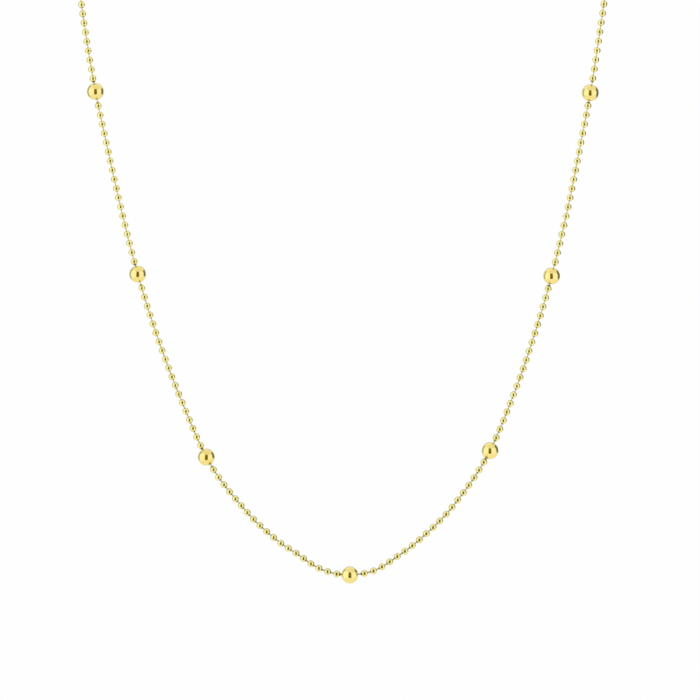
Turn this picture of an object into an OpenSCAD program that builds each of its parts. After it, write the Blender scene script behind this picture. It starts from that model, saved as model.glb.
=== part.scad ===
// Ball chain necklace: a loop of small balls on link wire, with a large ball between one run
// and the next, closed by a plain barrel clasp at the nape of the neck.
// It keeps the form in which it hangs round a neck. Millimetres, with +Z up.
// The origin is the middle of the clasp. The wearer faces -Y, and +X is on the viewer's right.

/* [Balls] */
// Diameter of a small ball
small_ball_d = 1.32; // [0.9:0.02:1.6]
// Diameter of a large ball
large_ball_d = 3.14; // [2:0.02:4.5]
// Room round the link wire in a small ball's hole
small_hole_play = 0.17; // [0.14:0.01:0.24]
// Room round the link wire in a large ball's hole
large_hole_play = 0.28; // [0.2:0.01:0.45]

/* [Links] */
// Diameter of the link wire, across its corners
wire_d = 0.24; // [0.16:0.02:0.32]
// Bare wire between two small balls
link_gap = 0.42; // [0.36:0.02:0.8]
// Bare wire on the side of a large ball that comes first, from the left of the clasp
near_gap = 0.21; // [0.16:0.01:0.8]
// Bare wire on the other side of a large ball
far_gap = 0.49; // [0.16:0.01:1]

/* [Clasp] */
// Length of the clasp
clasp_length = 9.5; // [7:0.5:13]
// Diameter of the clasp
clasp_d = 3; // [2.4:0.1:4]
// Radius that rounds the clasp's ends
clasp_edge_r = 0.8; // [0.3:0.1:1]
// Width of the seam round the middle of the clasp
seam_w = 0.3; // [0.2:0.05:0.6]
// Depth of the seam
seam_depth = 0.15; // [0.1:0.05:0.3]
// Depth of the socket in each end of the clasp
socket_depth = 2.4; // [1.5:0.1:3]
// Room round the link wire in a socket
socket_play = 0.12; // [0.1:0.01:0.2]
// Room between the end of the wire and the bottom of its socket
socket_end_play = 0.2; // [0.1:0.05:0.5]
// Bare wire between the clasp and the ball beside it
clasp_gap = 0.44; // [0.3:0.02:1]

/* [Hidden] */
// Small balls in each run, from the left of the clasp down, round the front and up the right
runs = [3, 18, 19, 18, 18, 19, 19, 19, 18, 18, 18, 19, 18, 3];

// Points that the chain passes through, as x, y and z, in the order of the runs
route = [
    [0, 0, 0], [-6, 0, 0], [-12.5, -0.5, 0.1], [-20.8, -3.8, 0.4],
    [-29.7, -9.9, 0.3], [-37.4, -18.6, -0.7], [-43.2, -29.1, -2.6],
    [-47.1, -40.6, -5.8], [-49.2, -51.4, -11], [-49.8, -59.3, -19],
    [-48.6, -62.3, -29.1], [-46.5, -62.4, -42.2], [-44, -62.4, -54.1],
    [-41.4, -62.3, -65.7], [-38.5, -62.4, -77.1], [-34.7, -63, -89.2],
    [-30.1, -64.5, -101.2], [-24.8, -66.5, -112.7], [-18.1, -69.5, -121.3],
    [-12.7, -71.6, -126.3], [-8.8, -73, -128.9], [-4.8, -74.3, -131.5],
    [-0.1, -75, -132.7],
    [5.2, -74.4, -132], [10, -73.2, -129.1], [14.3, -71.9, -125.8],
    [19.8, -70.1, -120.3], [26.2, -67.5, -111.1], [31.4, -65, -99.1],
    [35.1, -63.2, -88.5], [38.2, -62.3, -78], [41.1, -62, -66],
    [43.5, -62, -54], [45.8, -62.1, -41.7], [47.9, -62.2, -27.7],
    [49.3, -59.3, -19], [49.2, -51.4, -11], [47.1, -40.6, -5.8],
    [43.2, -29.1, -2.6], [37.4, -18.6, -0.7], [29.7, -9.9, 0.3],
    [20.8, -3.8, 0.4], [12.5, -0.5, 0.1], [6, 0, 0],
];
// Steps of the smooth curve from one point of the route to the next
route_steps = 16;

small_ball_r = small_ball_d / 2;
large_ball_r = large_ball_d / 2;
small_hole_d = wire_d + 2 * small_hole_play;
large_hole_d = wire_d + 2 * large_hole_play;
wire_sides = 6;
// How far a cutting shape runs past the face that it cuts
cut_over = 0.5;

// From one small ball's middle to the next
pitch = small_ball_d + link_gap;
// From a large ball's middle to the last small ball before it, and to the first one after it
near_pitch = small_ball_r + near_gap + large_ball_r;
far_pitch = large_ball_r + far_gap + small_ball_r;

// Distances are measured along the chain from the middle of the clasp
first_ball = clasp_length / 2 + clasp_gap + small_ball_r;
function run_length(run) = (runs[run] - 1) * pitch;
function run_start(run) =
    run == 0 ? first_ball : run_start(run - 1) + run_length(run - 1) + near_pitch + far_pitch;
last_run = len(runs) - 1;
loop_length = run_start(last_run) + run_length(last_run) + first_ball;

// A row for each ball in order: its distance, and its number if it is large or 0 if it is small
ball_table = [
    for (run = [0:last_run])
        for (i = [0:runs[run]])
            if (i < runs[run]) [run_start(run) + i * pitch, 0]
            else if (run < last_run) [run_start(run) + run_length(run) + near_pitch, run + 1]
];
large_ball_count = last_run;
function ball_number(ball) = ball_table[ball][1];

// The route as one smooth closed curve through its points
function route_point(i) = route[(i + len(route)) % len(route)];
function smooth(a, b, c, d, t) =
    (2 * b + (c - a) * t + (2 * a - 5 * b + 4 * c - d) * t ^ 2 + (3 * (b - c) + d - a) * t ^ 3) / 2;
curve = [
    for (i = [0:len(route)])
        for (k = [0:(i < len(route) ? route_steps - 1 : 0)])
            smooth(route_point(i - 1), route_point(i), route_point(i + 1), route_point(i + 2),
                   k / route_steps)
];
curve_distance = [
    for (i = 0, s = 0; i < len(curve);
         s = s + norm(curve[min(i + 1, len(curve) - 1)] - curve[i]), i = i + 1) s
];
// The route keeps its shape and takes the size that the chain's own length gives it
route_scale = loop_length / curve_distance[len(curve) - 1];
coordinate_tables = [
    for (axis = [0:2]) [for (i = [0:len(curve) - 1]) [curve_distance[i], curve[i][axis]]]
];
function chain_point(distance) =
    route_scale * [for (table = coordinate_tables) lookup(distance / route_scale, table)];

// The wire bends only in the middle of a ball, and ends inside the clasp's sockets
socket_reach = clasp_length / 2 - socket_depth + socket_end_play;
wire_points = [
    chain_point(socket_reach),
    for (ball = ball_table) chain_point(ball[0]),
    chain_point(loop_length - socket_reach),
];
last_point = len(wire_points) - 1;
function unit(v) = v / norm(v);
function ahead(i) = unit(wire_points[min(i + 1, last_point)] - wire_points[min(i, last_point - 1)]);
function behind(i) = unit(wire_points[max(i, 1)] - wire_points[max(i - 1, 0)]);
function direction(i) = unit(ahead(i) + behind(i));

// Corners of the wire round one of its points, the first towards the middle of the necklace
loop_middle = (chain_point(0) + chain_point(loop_length / 2)) / 2;
function sideways(i) = unit(cross(direction(i), loop_middle - wire_points[i]));
function inwards(i) = cross(sideways(i), direction(i));
function wire_corner(i, angle) =
    wire_points[i] + wire_d / 2 * (cos(angle) * inwards(i) + sin(angle) * sideways(i));

// Lays what is drawn along Z in the direction v
module along(v) {
    rotate([0, acos(v.z / norm(v)), atan2(v.y, v.x)]) children();
}

// A ball of the chain with the hole that the wire runs through
module drilled_ball(ball, ball_d, hole_d, detail) {
    translate(wire_points[ball + 1]) along(direction(ball + 1)) difference() {
        sphere(d = ball_d, $fn = detail);
        cylinder(d = hole_d, h = ball_d + 2 * cut_over, center = true, $fn = detail);
    }
}

module small_balls() {
    color("#EBD27A")
        for (ball = [0:len(ball_table) - 1])
            if (ball_number(ball) == 0) drilled_ball(ball, small_ball_d, small_hole_d, 36);
}

module large_ball(number) {
    color("#E9C65C")
        for (ball = [0:len(ball_table) - 1])
            if (ball_number(ball) == number) drilled_ball(ball, large_ball_d, large_hole_d, 72);
}

module link_wire() {
    rings = [
        for (i = [0:last_point])
            for (side = [0:wire_sides - 1]) wire_corner(i, side * 360 / wire_sides)
    ];
    // Each face is cut into two triangles, because its corners don't lie in one plane
    walls = [
        for (i = [0:last_point - 1])
            for (side = [0:wire_sides - 1])
                let (a = i * wire_sides + side,
                     b = i * wire_sides + (side + 1) % wire_sides)
                for (face = [[a, b, b + wire_sides], [a, b + wire_sides, a + wire_sides]]) face
    ];
    start = [for (side = [wire_sides - 1:-1:0]) side];
    end = [for (side = [0:wire_sides - 1]) last_point * wire_sides + side];
    color("#B9A24F") polyhedron(points = rings, faces = concat([start], walls, [end]));
}

// Half of the clasp's section: radius along X, length along Y
module clasp_section() {
    body_r = clasp_d / 2;
    flat_r = body_r - clasp_edge_r;
    flat_half = clasp_length / 2 - clasp_edge_r;
    difference() {
        union() {
            translate([0, -flat_half]) square([body_r, 2 * flat_half]);
            translate([0, -clasp_length / 2]) square([flat_r, clasp_length]);
            for (end = [-1, 1]) intersection() {
                translate([flat_r, end * flat_half]) circle(r = clasp_edge_r, $fn = 48);
                translate([flat_r, -clasp_length / 2]) square([clasp_edge_r, clasp_length]);
            }
        }
        translate([body_r - seam_depth, -seam_w / 2]) square([seam_depth + cut_over, seam_w]);
    }
}

module clasp() {
    color("#E5C468") along([1, 0, 0]) difference() {
        rotate_extrude($fn = 96) clasp_section();
        for (turn = [0, 180]) rotate([turn, 0, 0])
            translate([0, 0, clasp_length / 2 - socket_depth])
                cylinder(d = wire_d + 2 * socket_play, h = socket_depth + cut_over, $fn = 36);
    }
}

small_balls();
link_wire();
clasp();
for (number = [1:large_ball_count])
    large_ball(number);
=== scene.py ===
import math
import random
import statistics

import bmesh
import bpy
from mathutils import Matrix, Vector


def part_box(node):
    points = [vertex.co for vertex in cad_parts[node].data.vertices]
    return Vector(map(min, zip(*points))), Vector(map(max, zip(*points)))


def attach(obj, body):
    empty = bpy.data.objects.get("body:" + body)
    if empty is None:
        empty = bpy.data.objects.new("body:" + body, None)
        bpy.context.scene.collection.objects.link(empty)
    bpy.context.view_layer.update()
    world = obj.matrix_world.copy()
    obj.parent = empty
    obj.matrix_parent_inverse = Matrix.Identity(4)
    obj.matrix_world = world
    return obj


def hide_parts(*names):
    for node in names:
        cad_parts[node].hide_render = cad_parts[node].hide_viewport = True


# A gold-coloured ball chain necklace, in the form in which it hangs round a neck.
# Metres, with +Z up. The wearer faces -Y, and the middle of the clasp is the origin.
MM = 0.001

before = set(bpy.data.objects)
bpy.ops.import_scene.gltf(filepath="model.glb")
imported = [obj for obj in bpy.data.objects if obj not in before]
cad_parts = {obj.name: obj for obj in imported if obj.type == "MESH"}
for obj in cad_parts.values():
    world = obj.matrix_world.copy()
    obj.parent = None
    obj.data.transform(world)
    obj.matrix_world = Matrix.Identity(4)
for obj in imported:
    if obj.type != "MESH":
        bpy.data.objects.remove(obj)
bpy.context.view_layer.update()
random.seed(7)


# Sizes

# A small ball is repeated 227 times, so it has few faces. Its corners stand a little outside the
# true ball, to make up for its flat faces, which lie inside it.
SMALL_SIDES, SMALL_RINGS = 12, 7
CORNERS_OUT = 1.012
LARGE_SIDES, LARGE_RINGS = 48, 24
SMALL_HOLE_R = 0.28 * MM
LARGE_HOLE_R = 0.4 * MM
LARGE_RIM = 0.08 * MM
# Corners nearer to the axis than this share of the hole's radius are cut away, and the wall of
# the hole with this share of its rim counts as the inside
POLE_CUT = 0.85
RIM_INSIDE = 0.7
# Small balls are turned on the wire, mostly by less than this many radians
BALL_TURN = 0.05

# The wire is made as a pin for each gap, with a head inside the ball at each end
WIRE_R = 0.12 * MM
PIN_SIDES = 8
NECK = 0.26 * MM
HEAD_R = 0.19 * MM
HEAD_LENGTH = 0.2 * MM
# The head's steps from the neck on: times its width so far, and share of its length
HEAD_STEPS = ((HEAD_R / WIRE_R, 0.25), (1.0, 0.5), (0.6, 0.25))

# The short collar on the wire beside a large ball, where a run of small balls ends; its dark
# colour is painted shade for the gap there
COLLAR_R = 0.3 * MM
COLLAR_LENGTH = 0.26 * MM
COLLAR_EDGE = 0.07 * MM
COLLAR_SIDES = 12
# Its middle is this far inside the small ball's surface
COLLAR_IN = 0.07 * MM

CLASP_SIDES = 64
CLASP_EDGE = 0.8 * MM
SEAM_W = 0.3 * MM
SEAM_DEPTH = 0.15 * MM
SEAM_EDGE = 0.05 * MM
SOCKET_R = 0.24 * MM
SOCKET_DEPTH = 2.4 * MM
SOCKET_EDGE = 0.06 * MM

# How flat a small ball looks sideways, front to back, and up and down: 1 is a true ball.
# The first row is for a stretch that hangs straight down, the second for one that lies level.
FLATS_HANGING = (1.35, 1.6, 1.4)
FLATS_LEVEL = (1.65, 1.6, 1.5)

# Painted shade: balls and wire grow darker from this height down to the lowest ball, where it
# takes these shares
PAINTED_SHADE_FROM = -62 * MM
PAINTED_SHADE_TO = -132 * MM
BALL_PAINTED_SHADE = 0.07
WIRE_PAINTED_SHADE = 0.7

# Corners closer than this are one corner, and edges this nearly level are level
SAME_PLACE = 0.0001 * MM
SAME_HEIGHT = 0.001 * MM
# Up to this share of its radius a corner is on a rim
ON_RIM = 1.01
# Past this share of its length from the middle, anything is on a shape's end
ON_END = 0.499
# Edges bent by more than this stay sharp
SHARP = math.radians(50)


# Colours and nodes

def linear(hex_colour):
    """An sRGB hex colour as the linear red, green, blue and alpha that a shader takes."""
    parts = [int(hex_colour[i:i + 2], 16) / 255 for i in (1, 3, 5)]
    return [p / 12.92 if p <= 0.04045 else ((p + 0.055) / 1.055) ** 2.4 for p in parts] + [1.0]


def node(tree, kind, settings=None, links=None):
    """Adds a node. settings are its own properties, and links are values or sockets by input."""
    made = tree.nodes.new(kind)
    for name, value in (settings or {}).items():
        setattr(made, name, value)
    for name, value in (links or {}).items():
        if isinstance(value, bpy.types.NodeSocket):
            tree.links.new(value, made.inputs[name])
        else:
            made.inputs[name].default_value = value
    return made


# Where the balls are

def loose_parts(name):
    """The middle and the reach of each loose part of a CAD node, once its corners are joined."""
    shape = bmesh.new()
    shape.from_mesh(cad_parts[name].data)
    bmesh.ops.remove_doubles(shape, verts=shape.verts, dist=SAME_PLACE)
    found, waiting = [], set(shape.verts)
    while waiting:
        part, growing = [], [waiting.pop()]
        while growing:
            corner = growing.pop()
            part.append(corner.co.copy())
            for edge in corner.link_edges:
                other = edge.other_vert(corner)
                if other in waiting:
                    waiting.remove(other)
                    growing.append(other)
        low = Vector([min(p[i] for p in part) for i in range(3)])
        high = Vector([max(p[i] for p in part) for i in range(3)])
        middle = (low + high) / 2
        found.append((middle, max((p - middle).length for p in part)))
    shape.free()
    return found


clasp_low, clasp_high = [Vector(corner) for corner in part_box("clasp")]
clasp_middle = (clasp_low + clasp_high) / 2
clasp_half = (clasp_high - clasp_low) / 2
left_end = clasp_middle - Vector((clasp_half.x, 0, 0))
right_end = clasp_middle + Vector((clasp_half.x, 0, 0))

small_parts = loose_parts("small_balls")
large_parts = {name: loose_parts(name)[0]
               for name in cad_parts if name.startswith("large_ball_")}
SMALL_R = statistics.median(reach for _, reach in small_parts)
LARGE_R = statistics.median(reach for _, reach in large_parts.values())

# The chain in order, from the left end of the clasp round the front to its right end
unplaced = [(middle, "small_balls") for middle, _ in small_parts]
unplaced += [(middle, name) for name, (middle, _) in large_parts.items()]
chain = []
last = left_end
while unplaced:
    ball = min(unplaced, key=lambda b: (b[0] - last).length)
    unplaced.remove(ball)
    chain.append(ball)
    last = ball[0]

# What the wire joins, and how far each of them reaches along it
points = [left_end] + [middle for middle, _ in chain] + [right_end]
reaches = [0.0] + [SMALL_R if name == "small_balls" else LARGE_R for _, name in chain] + [0.0]


# Shaping

def deselect():
    bpy.ops.object.select_all(action="DESELECT")


def pick(kind, test):
    """Selects, in edit mode, just the corners, edges or faces that pass the test."""
    mesh = bpy.context.object.data
    bpy.ops.mesh.select_mode(type=kind)
    bpy.ops.mesh.select_all(action="DESELECT")
    shape = bmesh.from_edit_mesh(mesh)
    for part in {"VERT": shape.verts, "EDGE": shape.edges, "FACE": shape.faces}[kind]:
        part.select_set(test(part))
    shape.select_flush_mode()
    bmesh.update_edit_mesh(mesh)


def off_axis(point):
    return math.hypot(point.x, point.y)


def level(edge):
    """True for an edge that lies across the axis, as those of a rim do."""
    a, b = (corner.co for corner in edge.verts)
    return abs(a.z - b.z) < SAME_HEIGHT


def level_ring(test):
    """Picks the level edges whose two corners both pass the test."""
    pick("EDGE", lambda edge: level(edge) and all(test(corner.co) for corner in edge.verts))


def finished(name):
    """Leaves edit mode, with the faces outwards and shaded smooth."""
    bpy.ops.mesh.select_all(action="SELECT")
    bpy.ops.mesh.normals_make_consistent(inside=False)
    bpy.ops.object.mode_set(mode="OBJECT")
    bpy.ops.object.shade_smooth_by_angle(angle=SHARP)
    piece = bpy.context.object
    piece.name = piece.data.name = name
    deselect()
    return piece


def drilled_ball(name, radius, hole_r, sides, rings, rim):
    """A ball with a hole along Z. Its poles are cut away, the two openings are joined through
    the inside, and a rim above 0 rounds the holes' edges. It is turned by half a face, so that
    a flat face and not an edge is in front. All of the inside is tarnished."""
    deselect()
    bpy.ops.mesh.primitive_uv_sphere_add(segments=sides, ring_count=rings, radius=radius,
                                         rotation=(0, 0, math.pi / sides))
    bpy.ops.object.transform_apply(rotation=True)
    bpy.ops.object.mode_set(mode="EDIT")
    pick("VERT", lambda corner: off_axis(corner.co) < POLE_CUT * hole_r)
    bpy.ops.mesh.delete(type="VERT")
    bpy.ops.mesh.select_mode(type="EDGE")
    bpy.ops.mesh.select_non_manifold()
    bpy.ops.mesh.bridge_edge_loops()
    shape = bmesh.from_edit_mesh(bpy.context.object.data)
    opening = min(off_axis(corner.co) for corner in shape.verts)
    if rim:
        level_ring(lambda place: off_axis(place) < ON_RIM * opening)
        bpy.ops.mesh.bevel(offset=rim, segments=3, affect="EDGES")
    ball = finished(name)
    # The outside is shaded as a true ball, however few faces it has
    normals = [ball.data.vertices[loop.vertex_index].normal for loop in ball.data.loops]
    tarnish_and_shade = ball.data.attributes.new("tarnish_and_shade", "FLOAT", "CORNER")
    for face in ball.data.polygons:
        inner = off_axis(face.center) < opening + RIM_INSIDE * rim
        for loop in face.loop_indices:
            corner = ball.data.vertices[ball.data.loops[loop].vertex_index]
            if not inner:
                normals[loop] = corner.co.normalized()
            tarnish_and_shade.data[loop].value = 1.0 if inner else 0.0
    ball.data.normals_split_custom_set(normals)
    return ball


def link_pin(bare):
    """The pin between two balls: bare wire, with a rounded head inside the ball at each end."""
    deselect()
    bpy.ops.mesh.primitive_cylinder_add(vertices=PIN_SIDES, radius=WIRE_R,
                                        depth=bare + 2 * NECK)
    bpy.ops.object.mode_set(mode="EDIT")
    for end in (1, -1):
        pick("FACE", lambda face: face.normal.z * end > 0.9)
        for widen, share in HEAD_STEPS:
            bpy.ops.mesh.extrude_region_move(
                TRANSFORM_OT_translate={"value": (0, 0, end * share * HEAD_LENGTH)})
            bpy.ops.transform.resize(value=(widen, widen, 1), center_override=(0, 0, 0))
    return finished("pin_shape")


def collar_ring():
    """The collar: a short drum with rounded edges, which the wire runs through."""
    deselect()
    bpy.ops.mesh.primitive_cylinder_add(vertices=COLLAR_SIDES, radius=COLLAR_R,
                                        depth=COLLAR_LENGTH)
    bpy.ops.object.mode_set(mode="EDIT")
    pick("EDGE", level)
    bpy.ops.mesh.bevel(offset=COLLAR_EDGE, segments=2, affect="EDGES")
    return finished("collar")


def barrel(length, radius):
    """The clasp along Z: rounded ends, a seam round the middle and a socket in each end."""
    deselect()
    bpy.ops.mesh.primitive_cylinder_add(vertices=CLASP_SIDES, radius=radius, depth=length)
    bpy.ops.object.mode_set(mode="EDIT")
    pick("EDGE", level)
    bpy.ops.mesh.bevel(offset=CLASP_EDGE, segments=8, affect="EDGES")
    for side in (1, -1):
        bpy.ops.mesh.select_all(action="SELECT")
        bpy.ops.mesh.bisect(plane_co=(0, 0, side * SEAM_W / 2), plane_no=(0, 0, 1))
    pick("FACE", lambda face: abs(face.calc_center_median().z) < SEAM_W / 4)
    bpy.ops.mesh.extrude_region_shrink_fatten(
        TRANSFORM_OT_shrink_fatten={"value": -SEAM_DEPTH})
    level_ring(lambda place: abs(place.z) < SEAM_W and off_axis(place) > radius - SEAM_DEPTH / 2)
    bpy.ops.mesh.bevel(offset=SEAM_EDGE, segments=2, affect="EDGES")
    for end in (1, -1):
        pick("FACE", lambda face: face.calc_center_median().z * end > ON_END * length)
        bpy.ops.mesh.inset(thickness=radius - CLASP_EDGE - SOCKET_R)
        bpy.ops.mesh.extrude_region_move(
            TRANSFORM_OT_translate={"value": (0, 0, -end * SOCKET_DEPTH)})
    level_ring(lambda place: abs(place.z) > ON_END * length
               and off_axis(place) < ON_RIM * SOCKET_R)
    bpy.ops.mesh.bevel(offset=SOCKET_EDGE, segments=2, affect="EDGES")
    return finished("clasp_barrel")


# Placing

def placed(shape, middle, direction, turn):
    """A copy of a shape with its own mesh, its Z laid along the direction and its -Y towards
    the front, and then turned on its own axis. The copy keeps a tone of its own, because no
    two plated pieces come out quite alike."""
    copy = shape.copy()
    copy.data = shape.data.copy()
    z = direction.normalized()
    x = Vector((0, 1, 0)).cross(z).normalized()
    lie = Matrix((x, z.cross(x), z)).transposed().to_4x4()
    copy.data.transform(Matrix.Translation(middle) @ lie @ Matrix.Rotation(turn, 4, "Z"))
    tone = copy.data.attributes.new("tone", "FLOAT", "POINT")
    tone.data.foreach_set("value", [random.random()] * len(copy.data.vertices))
    bpy.context.collection.objects.link(copy)
    return copy


def flattened(ball, middle, direction):
    """Shades the outside of a placed ball as a little flat on all six sides, as small balls
    come from the press. That widens the dark middle, most where the chain lies nearly level."""
    lying = 1 - direction.normalized().z ** 2
    powers = [a + (b - a) * lying for a, b in zip(FLATS_HANGING, FLATS_LEVEL)]
    tarnish_and_shade = ball.data.attributes["tarnish_and_shade"]
    normals = []
    for i, loop in enumerate(ball.data.loops):
        if tarnish_and_shade.data[i].value > 0.5:
            normals.append(ball.data.corner_normals[i].vector.copy())
        else:
            out = (ball.data.vertices[loop.vertex_index].co - middle).normalized()
            normals.append(Vector([math.copysign(abs(part) ** power, part)
                                   for part, power in zip(out, powers)]).normalized())
    ball.data.normals_split_custom_set(normals)


def lowness(middle):
    """0 on the collar bones and above, rising ever faster to 1 at the lowest ball."""
    way_down = (PAINTED_SHADE_FROM - middle.z) / (PAINTED_SHADE_FROM - PAINTED_SHADE_TO)
    return min(1.0, max(0.0, way_down)) ** 2


def with_painted_shade(piece, share):
    """Gives a placed piece at least this share of painted shade all over, in the mask that also
    holds the tarnish in the holes.
    """
    tarnish_and_shade = piece.data.attributes.get("tarnish_and_shade")
    if tarnish_and_shade is None:
        tarnish_and_shade = piece.data.attributes.new("tarnish_and_shade", "FLOAT", "CORNER")
    for corner in tarnish_and_shade.data:
        corner.value = max(corner.value, share)
    return piece


def joined(parts, name):
    """One piece out of many copies."""
    deselect()
    for part in parts:
        part.select_set(True)
    bpy.context.view_layer.objects.active = parts[0]
    bpy.ops.object.join()
    piece = bpy.context.object
    piece.name = piece.data.name = name
    deselect()
    return piece


def give(piece, slot, material, *nodes):
    """A finished piece rides on the part's body, takes its finish and stands for its nodes."""
    piece.data.materials.clear()
    piece.data.materials.append(material)
    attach(piece, "root")
    if nodes:
        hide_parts(*nodes)


# Finishes

# Uneven plating: shares of a piece's own tone and of clouds of this size
TONE_SHARE = 0.6
CLOUD_SHARE = 0.4
CLOUD_SIZE = 4 * MM
# Where it is tarnished or carries painted shade, this much of the gold is covered, and it is
# this much rougher
TARNISH_AND_SHADE_COVERS = 0.85
TARNISH_AND_SHADE_ROUGH = 0.25
# Smears left by wiping, which change the roughness
SMEAR_SIZE = 0.8 * MM
# Marks of the polishing cloth are really about 0.02 mm apart, drawn coarser so that they show
MARK_SIZE = 0.15 * MM


def plated(name, pale, deep, tarnish_and_shade_colour, rough, mark_depth):
    """Gilt metal. pale and deep are the two ends of its uneven tone, the next colour is that of
    the tarnish it takes round the holes and of the painted shade it takes low down, and rough is
    (smoothest, roughest)."""
    made = bpy.data.materials.new(name)
    made.use_nodes = True
    tree = made.node_tree
    shader = tree.nodes["Principled BSDF"]
    place = node(tree, "ShaderNodeTexCoord").outputs["Object"]
    cloud = node(tree, "ShaderNodeTexNoise", None,
                 {"Vector": place, "Scale": 1 / CLOUD_SIZE, "Detail": 2.0})
    tone = node(tree, "ShaderNodeAttribute", {"attribute_name": "tone"})
    own = node(tree, "ShaderNodeMath", {"operation": "MULTIPLY"},
               {0: tone.outputs["Fac"], 1: TONE_SHARE})
    uneven = node(tree, "ShaderNodeMath", {"operation": "MULTIPLY_ADD", "use_clamp": True},
                  {0: cloud.outputs["Fac"], 1: CLOUD_SHARE, 2: own.outputs[0]})
    gold = node(tree, "ShaderNodeMix", {"data_type": "RGBA"},
                {0: uneven.outputs[0], 6: linear(pale), 7: linear(deep)})
    # This mask holds the tarnish in the holes and the painted shade low down
    tarnish_and_shade = node(tree, "ShaderNodeAttribute", {"attribute_name": "tarnish_and_shade"})
    cover = node(tree, "ShaderNodeMath", {"operation": "MULTIPLY"},
                 {0: tarnish_and_shade.outputs["Fac"], 1: TARNISH_AND_SHADE_COVERS})
    coloured = node(tree, "ShaderNodeMix", {"data_type": "RGBA"},
                    {0: cover.outputs[0], 6: gold.outputs[2], 7: linear(tarnish_and_shade_colour)})
    tree.links.new(coloured.outputs[2], shader.inputs["Base Color"])
    smear = node(tree, "ShaderNodeTexNoise", None,
                 {"Vector": place, "Scale": 1 / SMEAR_SIZE, "Detail": 3.0})
    smooth = node(tree, "ShaderNodeMapRange", None,
                  {"Value": smear.outputs["Fac"], "From Min": 0.3, "From Max": 0.7,
                   "To Min": rough[0], "To Max": rough[1]})
    dull = node(tree, "ShaderNodeMath", {"operation": "MULTIPLY_ADD"},
                {0: tarnish_and_shade.outputs["Fac"], 1: TARNISH_AND_SHADE_ROUGH, 2: smooth.outputs[0]})
    tree.links.new(dull.outputs[0], shader.inputs["Roughness"])
    marks = node(tree, "ShaderNodeTexNoise", None,
                 {"Vector": place, "Scale": 1 / MARK_SIZE, "Detail": 2.0})
    bump = node(tree, "ShaderNodeBump", None,
                {"Height": marks.outputs["Fac"], "Strength": 0.5, "Distance": mark_depth})
    tree.links.new(bump.outputs["Normal"], shader.inputs["Normal"])
    shader.inputs["Metallic"].default_value = 1.0
    return made


# Polished gold plate on the small balls: a pale lemon mirror that throws a hard dark middle
small_gold = plated("polished_gold_plate_small", "#FBF4B0", "#F5EB9C", "#746A36",
                    (0.02, 0.05), 0.0004 * MM)
# The same plate on the large balls: warmer, with a softer edge to what it mirrors
large_gold = plated("polished_gold_plate_large", "#FDEEA2", "#F9E690", "#DCCA78",
                    (0.08, 0.13), 0.0008 * MM)
# Drawn and gilt wire: satin, so it mirrors nothing clearly, and olive where painted shade
# darkens it low down
wire_gold = plated("drawn_gilt_wire", "#F6F09E", "#EAE188", "#6E6614",
                   (0.3, 0.45), 0.003 * MM)
# Gilt collar coloured brown as painted shade, for the shadow between the last small ball and a
# large one
collar_gold = plated("painted_shade_collar", "#8E7842", "#6E5A26", "#4A3A12",
                     (0.25, 0.4), 0.004 * MM)
# Gilt collar with lighter painted shade: a dull straw colour, half way from the gold to the
# brown
light_shade_collar_gold = plated("light_painted_shade_collar", "#CABC74", "#AC9C54", "#6B5722",
                    (0.25, 0.4), 0.004 * MM)
# Polished gold plate on the clasp: a mirror that handling has left slightly wavy
clasp_gold = plated("polished_gold_plate_clasp", "#FCEE9E", "#F6E288", "#6B5722",
                    (0.06, 0.14), 0.002 * MM)


# The pieces

small_ball = drilled_ball("small_ball", CORNERS_OUT * SMALL_R, SMALL_HOLE_R,
                          SMALL_SIDES, SMALL_RINGS, 0.0)
large_ball = drilled_ball("large_ball", LARGE_R, LARGE_HOLE_R,
                          LARGE_SIDES, LARGE_RINGS, LARGE_RIM)
small_copies = []
for i, (middle, name) in enumerate(chain, start=1):
    along = (points[i + 1] - middle).normalized() + (middle - points[i - 1]).normalized()
    if name == "small_balls":
        copy = placed(small_ball, middle, along, random.gauss(0, BALL_TURN))
        flattened(copy, middle, along)
        # Low down, a small ball takes a little painted shade
        small_copies.append(with_painted_shade(copy, BALL_PAINTED_SHADE * lowness(middle)))
    else:
        shell = placed(large_ball, middle, along, random.uniform(0, 2 * math.pi))
        shell.name = shell.data.name = name + "_shell"
        give(shell, "large_ball_gold", large_gold, name)

collar = collar_ring()
pins, near_collars, far_collars = [], [], []
# Gaps that are alike to a hundredth of a millimetre share one shape of pin
pin_shapes = {}
for i in range(len(points) - 1):
    step = points[i + 1] - points[i]
    along = step.normalized()
    bare = step.length - reaches[i] - reaches[i + 1]
    size = round(bare / MM, 2)
    if size not in pin_shapes:
        pin_shapes[size] = link_pin(bare)
    pin = placed(pin_shapes[size], points[i] + along * (reaches[i] + bare / 2), along,
                 random.uniform(0, 2 * math.pi))
    # Low down, a pin takes painted shade, olive and darker towards the lowest ball
    pins.append(with_painted_shade(pin, WIRE_PAINTED_SHADE * lowness(points[i])))
    to_collar = along * (SMALL_R - COLLAR_IN)
    if (reaches[i], reaches[i + 1]) == (SMALL_R, LARGE_R):
        near_collars.append(placed(collar, points[i] + to_collar, along, 0.0))
    if (reaches[i], reaches[i + 1]) == (LARGE_R, SMALL_R):
        far_collars.append(placed(collar, points[i + 1] - to_collar, along, 0.0))

give(joined(small_copies, "small_ball_shells"), "small_ball_gold", small_gold, "small_balls")
give(joined(pins, "link_pins"), "wire_gold", wire_gold, "link_wire")
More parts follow.
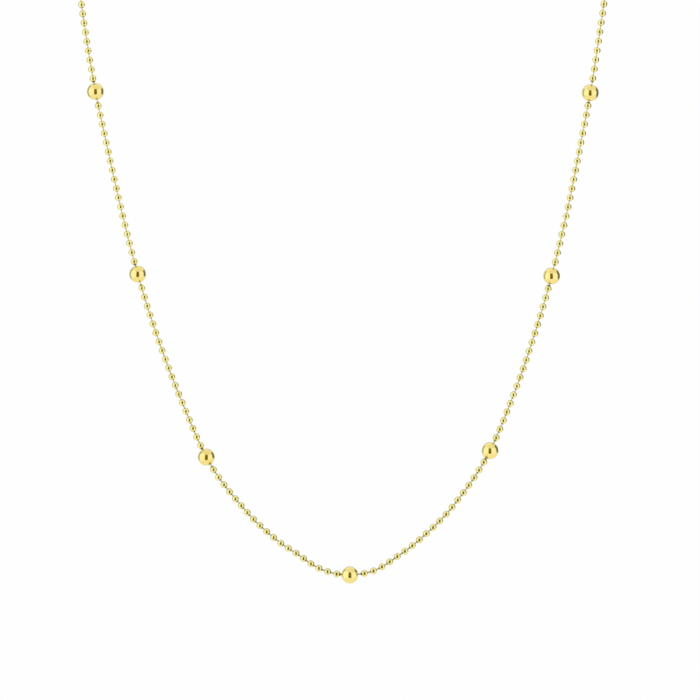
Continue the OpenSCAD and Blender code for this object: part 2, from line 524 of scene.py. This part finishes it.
# The collars' brown and straw colours are painted shade
give(joined(near_collars, "near_collars"), "wire_gold", collar_gold)
give(joined(far_collars, "far_collars"), "wire_gold", light_shade_collar_gold)
clasp_shape = barrel(2 * clasp_half.x, clasp_half.z)
clasp = placed(clasp_shape, clasp_middle, Vector((1, 0, 0)), 0.0)
clasp.name = clasp.data.name = "clasp_shell"
give(clasp, "clasp_gold", clasp_gold, "clasp")
for shape in [small_ball, large_ball, collar, clasp_shape, *pin_shapes.values()]:
    bpy.data.objects.remove(shape)


# Studio: a white tent with dark gaps, as round polished metal is photographed

front_middle = Vector((0, -65, -90)) * MM


def card(name, azimuth, elevation, distance, width, height, colour, strength, top=1.0):
    """A board that glows in its own colour and faces the middle of the front. The metal mirrors
    it, and the camera doesn't see it. Azimuth 0 is towards the camera and 90 on its right, in
    degrees. Lengths are in metres, and top is the upper edge as a share of the width."""
    a, e = math.radians(azimuth), math.radians(elevation)
    away = Vector((math.sin(a) * math.cos(e), -math.cos(a) * math.cos(e), math.sin(e)))
    deselect()
    bpy.ops.mesh.primitive_plane_add(size=1)
    bpy.ops.object.mode_set(mode="EDIT")
    pick("VERT", lambda corner: corner.co.y > 0)
    bpy.ops.transform.resize(value=(top, 1, 1), center_override=(0, 0, 0))
    bpy.ops.object.mode_set(mode="OBJECT")
    board = bpy.context.object
    board.name = name
    board.data.transform(Matrix.Translation(front_middle + away * distance)
                         @ (-away).to_track_quat("Z", "Y").to_matrix().to_4x4()
                         @ Matrix.Diagonal((width, height, 1, 1)))
    glow = bpy.data.materials.new(name)
    glow.use_nodes = True
    tree = glow.node_tree
    tree.nodes.clear()
    emission = node(tree, "ShaderNodeEmission", None,
                    {"Color": linear(colour), "Strength": strength})
    node(tree, "ShaderNodeOutputMaterial", None, {"Surface": emission.outputs[0]})
    board.data.materials.append(glow)
    board.visible_camera = board.visible_shadow = board.visible_diffuse = False


# The dark upright slot in the middle of each ball, narrower above and darkest below
card("front_gap", 0, 2.5, 0.65, 0.5, 1.18, "#FFE048", 0.2, 0.8)
card("camera_gap", 0, -27, 0.6, 0.4, 0.14, "#E8B838", 0.14)
# The bright flanks on both sides of the slot
card("left_softbox", -65, 0, 0.9, 1.5, 1.6, "#FFFFFF", 1.1)
card("right_softbox", 55, -8, 0.95, 1.0, 1.3, "#F8F8FF", 1.1)
# The slightly deeper gold above and below
card("top_board", 30, 70, 0.6, 1.1, 0.8, "#FFFBF0", 0.88)
card("bottom_board", 0, -80, 0.5, 1.2, 0.8, "#FFFAF0", 0.97)
# The dark arc down the right edge of each ball, and the thin grey line down the left one
card("right_gap", 120, 12, 0.24, 0.24, 0.24, "#B4B4A0", 0.36)
card("left_gap", -121, 12, 0.22, 0.16, 0.3, "#E4EEEE", 0.6)
# Something for the clasp and the hidden stretch to mirror, seen from behind
card("back_gap", 180, 14, 0.7, 0.42, 0.5, "#FFE9A0", 0.32, 0.8)

world = bpy.data.worlds.new("white_tent")
world.use_nodes = True
world.node_tree.nodes["Background"].inputs["Color"].default_value = linear("#FEFEFE")
bpy.context.scene.world = world

# The necklace hangs free, so the floor is far below it and takes no shadow
FLOOR_SIZE = 16
FLOOR_Z = -0.85
deselect()
bpy.ops.mesh.primitive_plane_add(size=FLOOR_SIZE, location=(0, 0, FLOOR_Z))
floor = bpy.context.object
floor.name = "floor"
# Matt white board: no gloss at all, so that nothing is mirrored in it
paint = bpy.data.materials.new("matt_white_board")
paint.use_nodes = True
paint.node_tree.nodes["Principled BSDF"].inputs["Base Color"].default_value = linear("#F4F3F0")
paint.node_tree.nodes["Principled BSDF"].inputs["Roughness"].default_value = 0.9
floor.data.materials.append(paint)

# The camera stands level, square to the necklace, with the photograph's framing
PIXELS = 700
PIXEL = 0.184 * MM
PICTURE_X, PICTURE_Y, PICTURE_Z = 0.92 * MM, -71 * MM, -91.5 * MM
CAMERA_AWAY = 1200 * MM
SENSOR = 36
deselect()
bpy.ops.object.camera_add(location=(PICTURE_X, PICTURE_Y - CAMERA_AWAY, PICTURE_Z),
                          rotation=(math.pi / 2, 0, 0))
camera = bpy.context.object
camera.data.sensor_width = SENSOR
camera.data.lens = SENSOR * CAMERA_AWAY / (PIXELS * PIXEL)
camera.data.clip_end = 60
bpy.context.scene.camera = camera
bpy.context.scene.view_settings.view_transform = "Standard"
